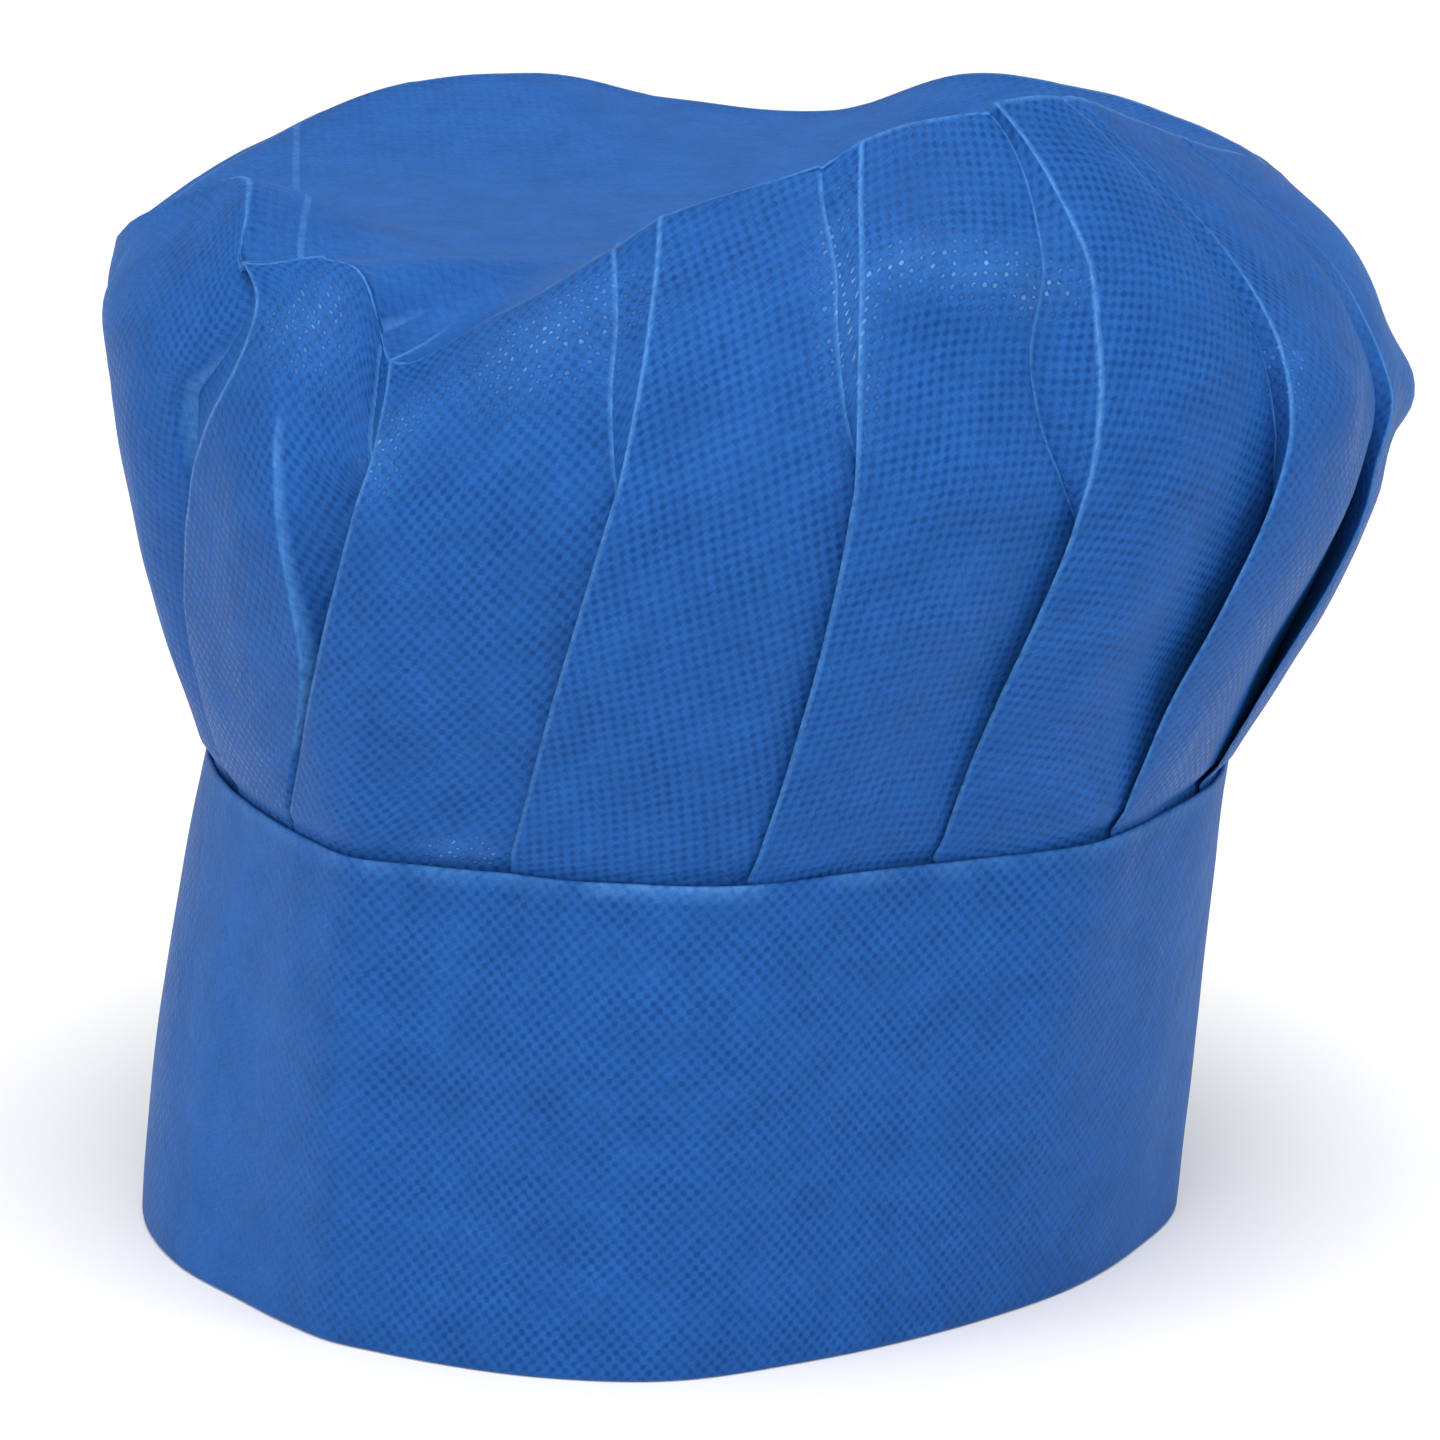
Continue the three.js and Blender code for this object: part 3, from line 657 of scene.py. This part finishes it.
def make_crown():
    """All pleats side by side, each joined to the next one's outer fold, and a point at the centre."""
    level = crown_levels()
    points, azimuths, wear_and_light_sets = zip(*(pleat_points(k, level) for k in range(len(PLEATS))))
    grid = np.concatenate(points)
    total, rows = grid.shape[:2]
    faces, uvs = [], []
    first = 0
    for k in range(len(PLEATS)):
        after = (k + 1) % len(PLEATS)
        turn = 0 if after else 360
        own = np.concatenate([points[k], points[after][:1]])
        azimuth = np.concatenate([azimuths[k], azimuths[after][:1] + turn])
        quads = grid_faces(*own.shape[:2])
        column, row = quads // rows, quads % rows
        faces.append(((first + column) % total) * rows + row)
        uvs.append(pleat_uv(own, azimuth, level)[column, row])
        first += len(points[k])
    wear_and_light = {key: np.concatenate([w[key] for w in wear_and_light_sets]) for key in wear_and_light_sets[0]}
    pole = crown_points(np.array([0.0]), np.array([2.0]), np.array([0.0]))[0]
    return cloth_object("crown_cloth_puff", grid, np.concatenate(faces), np.concatenate(uvs), wear_and_light, pole)


# ---- meshes ----

def grid_faces(columns, rows):
    """Quads between neighbouring columns and rows of points that are numbered column by column."""
    i, j = np.meshgrid(np.arange(columns - 1), np.arange(rows - 1), indexing="ij")
    corner = i * rows + j
    return np.stack([corner, corner + rows, corner + rows + 1, corner + 1], -1).reshape(-1, 4)


def cloth_object(name, grid, faces, uvs, wear_and_light, pole=None):
    """One ply of cloth from a grid of points and its quads, with its place in the flat cut as UV and its
    wear and painted light as attributes. Triangles join its last row to the pole."""
    verts = ((grid.reshape(-1, 3) + SHIFT) * MM).tolist()
    polygons = faces.tolist()
    corners = uvs.reshape(-1, 2)
    marks = {key: values.reshape(-1).tolist() for key, values in wear_and_light.items()}
    if pole is not None:
        columns, rows = grid.shape[:2]
        verts.append(((pole + SHIFT) * MM).tolist())
        for values in marks.values():
            values.append(values[-1])
        centre = len(verts) - 1
        ring = np.arange(columns) * rows + rows - 1
        rim = (grid[:, -1] - pole) * MM
        polygons += [[int(a), int(b), centre] for a, b in zip(ring, np.roll(ring, -1))]
        flat = np.stack([rim[:, 0], -rim[:, 1]], -1)
        fan = np.stack([flat, np.roll(flat, -1, 0), 0 * flat], 1)
        corners = np.concatenate([corners, fan.reshape(-1, 2)])
    mesh = bpy.data.meshes.new(name)
    mesh.from_pydata(verts, [], polygons)
    layer = mesh.uv_layers.new(name="flat_cut")
    layer.data.foreach_set("uv", corners.astype(np.float32).reshape(-1))
    for key, values in marks.items():
        attribute = mesh.attributes.new(key, "FLOAT", "POINT")
        attribute.data.foreach_set("value", np.array(values, np.float32))
    mesh.polygons.foreach_set("use_smooth", [True] * len(mesh.polygons))
    obj = bpy.data.objects.new(name, mesh)
    bpy.context.scene.collection.objects.link(obj)
    thicken(obj)
    return obj


def thicken(obj):
    ply = obj.modifiers.new("ply", "SOLIDIFY")
    ply.thickness = CLOTH * MM
    ply.offset = 0
    ply.use_even_offset = False
    graph = bpy.context.evaluated_depsgraph_get()
    mesh = bpy.data.meshes.new_from_object(obj.evaluated_get(graph), depsgraph=graph)
    obj.modifiers.clear()
    thin = obj.data
    obj.data = mesh
    bpy.data.meshes.remove(thin)
    mesh.name = obj.name


# ---- materials ----

class Nodes:
    """A short way to build a node tree."""

    def __init__(self, material):
        material.use_nodes = True
        self.tree = material.node_tree
        self.tree.nodes.clear()

    def add(self, kind, inputs=None, **settings):
        node = self.tree.nodes.new(kind)
        for key, value in settings.items():
            setattr(node, key, value)
        for key, value in (inputs or {}).items():
            if isinstance(value, bpy.types.NodeSocket):
                self.tree.links.new(value, node.inputs[key])
            else:
                node.inputs[key].default_value = value
        return node

    def wear_and_light(self, name):
        return self.add("ShaderNodeAttribute", attribute_name=name).outputs["Fac"]

    def math(self, operation, a, b=0.0, clamp=False):
        node = self.add("ShaderNodeMath", {0: a, 1: b}, operation=operation, use_clamp=clamp)
        return node.outputs[0]

    def vector(self, operation, a, b=(0, 0, 0)):
        return self.add("ShaderNodeVectorMath", {0: a, 1: b}, operation=operation).outputs["Vector"]

    def noise(self, vector, scale, detail, rough=0.5, distortion=0.0):
        """A noise in 0..1, as a value and as a colour of three values."""
        node = self.add("ShaderNodeTexNoise", {"Vector": vector, "Scale": scale, "Detail": detail,
                                               "Roughness": rough, "Distortion": distortion})
        return node.outputs["Fac"], node.outputs["Color"]

    def ramp(self, value, low, high, to_low=0.0, to_high=1.0, kind="SMOOTHSTEP"):
        node = self.add("ShaderNodeMapRange", {"Value": value, "From Min": low, "From Max": high,
                                               "To Min": to_low, "To Max": to_high},
                        interpolation_type=kind)
        return node.outputs["Result"]

    def mix(self, factor, a, b, blend="MIX"):
        node = self.add("ShaderNodeMix", data_type="RGBA", blend_type=blend)
        for key, value in ((0, factor), (6, a), (7, b)):
            if isinstance(value, bpy.types.NodeSocket):
                self.tree.links.new(value, node.inputs[key])
            else:
                node.inputs[key].default_value = value
        return node.outputs[2]

    def finish(self, inputs):
        shader = self.add("ShaderNodeBsdfPrincipled", inputs)
        output = self.add("ShaderNodeOutputMaterial")
        self.tree.links.new(shader.outputs["BSDF"], output.inputs["Surface"])


GROUND = (0.0145, 0.089, 0.325, 1)     # loose fibres between the bond points
BOND = (0.0058, 0.047, 0.203, 1)       # the pressed bond points
WHITENED_AND_HIGHLIT = (0.066, 0.215, 0.53, 1)      # cloth whitened along a pressed fold, with a painted highlight; also painted highlights and sheen
PAINTED_GLINT = (0.24, 0.45, 0.8, 1)        # painted glints on bond points
PAINTED_SHEEN_PALER = 0.1                     # how far the painted sheen pales the cloth
PAINTED_HIGHLIGHT_PALER = 0.22                    # and how far the painted highlights do
PAINTED_GLINT_STRENGTH = 0.6                           # strength of the painted glints on the bond points
FIBRE_SHADES = (0.87, 1.13)
CLOUD_SHADES = (0.9, 1.1)
ROUGHNESS = (0.6, 0.27)                # of the fibres and of the bond points
SHEEN = 0.06
SHEEN_TINT = (0.08, 0.45, 1, 1)
SHINE_TINT = (0.6, 0.8, 1, 1)
SHINE_LEVEL = 0.4
SHINE_IOR = 1.22

# Sizes of the cloth's patterns, as the scale of a noise over the flat cut in metres.
CLOUDS = 85.0
BLOTCHES = 500.0                       # finer and coarser bond points
PATCHES = 110.0                        # fainter and stronger ones
SPARSE = 900.0                         # the bond points that get a painted glint among the others
CREASING = 120.0
GRID_PULL = 0.00025                    # how far the bond grid is out of true, in metres
FIBRES = 300.0
FIBRE_RUNS = ((0.5, 7.0), (-1.0, 8.0))  # direction, how many times longer than wide
FIBRE_RELIEF = 0.00004                 # heights in metres
BOND_RELIEF = -0.0001
CREASING_RELIEF = 0.0005

# A straight pale mark on the left of the top, pressed cloth with a painted highlight, in metres of the
# flat cut.
MARK_OFF_CENTRE = -0.082               # how far it runs from the cut's middle
MARK_SLANT = 0.084                     # how much it slants
MARK_REACH = (-0.066, 0.047)           # from where to where it runs
MARK_FADE = 0.004                      # how far it fades at its ends
MARK_EDGES = (0.0003, 0.0009)          # half widths of its core and of its rim
MARK_PALE = 0.4


def fold_mark(n, flat):
    axes = n.add("ShaderNodeSeparateXYZ", {"Vector": flat})
    slant = n.math("MULTIPLY", axes.outputs["Y"], MARK_SLANT)
    off = n.math("SUBTRACT", n.math("SUBTRACT", axes.outputs["X"], slant), MARK_OFF_CENTRE)
    line = n.ramp(n.math("ABSOLUTE", off), *MARK_EDGES, 1.0, 0.0)
    back = n.ramp(axes.outputs["Y"], MARK_REACH[0], MARK_REACH[0] + MARK_FADE)
    front = n.ramp(axes.outputs["Y"], MARK_REACH[1] - MARK_FADE, MARK_REACH[1], 1.0, 0.0)
    return n.math("MULTIPLY", n.math("MULTIPLY", line, back), n.math("MULTIPLY", front, MARK_PALE))


def bond_grid(n, moved, drift, grid_angle):
    """A wave over the cloth that is highest at the bond points of a square grid, a little out of true."""
    pull = n.vector("SUBTRACT", drift, (0.5, 0.5, 0.5))
    pull = n.vector("MULTIPLY", pull, (GRID_PULL, GRID_PULL, 0.0))
    grid = n.add("ShaderNodeVectorRotate", {"Vector": n.vector("ADD", moved, pull), "Angle": grid_angle},
                 rotation_type="Z_AXIS").outputs["Vector"]
    turns = 2 * math.pi / (GRID_PITCH * MM)
    grid = n.vector("COSINE", n.vector("MULTIPLY", grid, (turns, turns, 0.0)))
    axes = n.add("ShaderNodeSeparateXYZ", {"Vector": grid})
    return n.math("ADD", axes.outputs["X"], axes.outputs["Y"])


def fibre_mat(n, moved):
    """Fibres that lie two ways."""
    fibre = None
    for angle, stretch in FIBRE_RUNS:
        turned = n.add("ShaderNodeVectorRotate", {"Vector": moved, "Angle": angle},
                       rotation_type="Z_AXIS").outputs["Vector"]
        long = n.vector("MULTIPLY", turned, (FIBRES, FIBRES * stretch, 1.0))
        strand = n.noise(long, 1.0, 1.0, 0.6)[0]
        fibre = strand if fibre is None else n.math("ADD", fibre, strand)
    return fibre


def cloth_material(name, grid_angle, seed, marked):
    """Spunbond cloth: a square grid of small pressed bond points in a mat of fine fibres, stronger and
    weaker in patches, whitened along its folds with a painted highlight, and here and there with painted
    highlights, painted glints on its bond points and a painted sheen that hides them."""
    material = bpy.data.materials.new(name)
    n = Nodes(material)
    flat = n.add("ShaderNodeUVMap", uv_map="flat_cut").outputs["UV"]
    moved = n.vector("ADD", flat, (seed * 0.37, seed * 0.23, 0.0))
    cloudy, drift = n.noise(moved, CLOUDS, 3.0, 0.6)
    blotch = n.noise(moved, BLOTCHES, 1.0, 0.6)[0]
    patch = n.noise(moved, PATCHES, 2.0, 0.55)[0]
    fibre = fibre_mat(n, moved)
    napped = n.wear_and_light("napped")
    rubbed = n.wear_and_light("rubbed")
    crease = n.wear_and_light("crease")
    if marked:
        crease = n.math("MAXIMUM", crease, fold_mark(n, flat))
    wave = bond_grid(n, moved, drift, grid_angle)
    wave = n.math("ADD", wave, n.ramp(blotch, 0.2, 0.8, -0.5, 0.5, "LINEAR"))
    dot = n.math("MULTIPLY", n.ramp(wave, -0.9, 1.9), n.ramp(patch, 0.3, 0.7, 0.55, 0.95))
    # The painted sheen hides the bond points.
    dot = n.math("MULTIPLY", dot, n.math("SUBTRACT", 1.0, napped, True))
    # colour
    colour = n.mix(dot, GROUND, BOND)
    # The painted sheen pales the cloth.
    colour = n.mix(n.math("MULTIPLY", napped, PAINTED_SHEEN_PALER, True), colour, WHITENED_AND_HIGHLIT)
    # Pale lines along folds and the band's edge: whitened, worn cloth with a painted highlight.
    worn_and_highlit = n.math("MULTIPLY", crease, n.ramp(blotch, 0.3, 0.6, 0.5, 1.0), True)
    colour = n.mix(worn_and_highlit, colour, WHITENED_AND_HIGHLIT)
    # Painted highlights pale the cloth and put painted glints on scattered bond points.
    sparse = n.ramp(n.noise(moved, SPARSE, 0.0)[0], 0.42, 0.62)
    point = n.math("MULTIPLY", n.math("MULTIPLY", n.ramp(wave, 0.9, 1.7), sparse), rubbed, True)
    colour = n.mix(n.math("MULTIPLY", rubbed, PAINTED_HIGHLIGHT_PALER, True), colour, WHITENED_AND_HIGHLIT)
    colour = n.mix(n.math("MULTIPLY", point, PAINTED_GLINT_STRENGTH), colour, PAINTED_GLINT)
    shade = n.math("MULTIPLY", n.ramp(fibre, 0.7, 1.3, *FIBRE_SHADES, "LINEAR"),
                   n.ramp(cloudy, 0.3, 0.7, *CLOUD_SHADES, "LINEAR"))
    grey = n.add("ShaderNodeCombineColor", {0: shade, 1: shade, 2: shade}).outputs[0]
    colour = n.mix(1.0, colour, grey, "MULTIPLY")
    # relief: fibres, bond points and the cloth's own small creasing
    creasing = n.noise(moved, CREASING, 2.0, 0.55, 0.6)[0]
    height = n.math("MULTIPLY", fibre, FIBRE_RELIEF)
    height = n.math("ADD", height, n.math("MULTIPLY", dot, BOND_RELIEF))
    height = n.math("ADD", height, n.math("MULTIPLY", creasing, CREASING_RELIEF))
    bump = n.add("ShaderNodeBump", {"Height": height, "Strength": 1.0, "Distance": 1.0})
    n.finish({"Base Color": colour, "Roughness": n.ramp(dot, 0.0, 1.0, *ROUGHNESS, "LINEAR"),
              "IOR": SHINE_IOR, "Specular IOR Level": SHINE_LEVEL, "Specular Tint": SHINE_TINT,
              "Sheen Weight": SHEEN, "Sheen Roughness": 0.5, "Sheen Tint": SHEEN_TINT,
              "Normal": bump.outputs["Normal"]})
    return material


# ---- stage ----

def floor_material():
    material = bpy.data.materials.new("studio_floor_white")
    Nodes(material).finish({"Base Color": FLOOR_COLOUR, "Roughness": 0.9, "Specular IOR Level": 0.1})
    return material


def make_stage():
    mesh = bpy.data.meshes.new("studio_floor")
    a = FLOOR_REACH
    mesh.from_pydata([(-a, -a, 0), (a, -a, 0), (a, a, 0), (-a, a, 0)], [], [(0, 1, 2, 3)])
    floor = bpy.data.objects.new("studio_floor", mesh)
    bpy.context.scene.collection.objects.link(floor)
    mesh.materials.append(floor_material())
    world = bpy.data.worlds.new("studio_world")
    bpy.context.scene.world = world
    world.use_nodes = True
    background = world.node_tree.nodes["Background"]
    background.inputs["Color"].default_value = (1, 1, 1, 1)
    background.inputs["Strength"].default_value = WORLD_STRENGTH


def softbox(name, place_at, width, height, power):
    data = bpy.data.lights.new(name, "AREA")
    data.shape = "RECTANGLE"
    data.size = width
    data.size_y = height
    data.energy = power
    light = bpy.data.objects.new(name, data)
    light.location = place_at
    light.rotation_euler = (Vector(SOFTBOX_AIM) - Vector(place_at)).to_track_quat("-Z", "Y").to_euler()
    bpy.context.scene.collection.objects.link(light)


def sunlight(name, toward, strength, angle):
    data = bpy.data.lights.new(name, "SUN")
    data.energy = strength
    data.angle = math.radians(angle)
    light = bpy.data.objects.new(name, data)
    light.rotation_euler = (-Vector(toward)).to_track_quat("-Z", "Y").to_euler()
    bpy.context.scene.collection.objects.link(light)


def make_camera():
    target = Vector((np.array(CAMERA_TARGET) + SHIFT) * MM)
    tilt = math.radians(CAMERA_ELEVATION)
    data = bpy.data.cameras.new("photo_camera")
    data.lens = CAMERA_LENS
    data.sensor_width = CAMERA_SENSOR
    data.clip_end = 50
    camera = bpy.data.objects.new("photo_camera", data)
    camera.location = target + Vector((0, -math.cos(tilt), math.sin(tilt))) * CAMERA_DISTANCE
    camera.rotation_euler = (math.pi / 2 - tilt, 0, 0)
    bpy.context.scene.collection.objects.link(camera)
    bpy.context.scene.camera = camera


# ---- the hat ----

make_camera()
make_stage()
sunlight("skylight", *SKYLIGHT)
for box in SOFTBOXES:
    softbox(*box)
bpy.context.scene.view_settings.view_transform = "Standard"
bpy.context.scene.view_settings.look = "None"

band = make_band()
band.data.materials.append(cloth_material("band_spunbond_blue", math.radians(45), 1, False))
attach(band, "root")
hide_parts("head_band")

crown = make_crown()
crown.data.materials.append(cloth_material("crown_spunbond_blue", math.radians(8), 2, True))
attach(crown, "root")
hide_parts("crown")
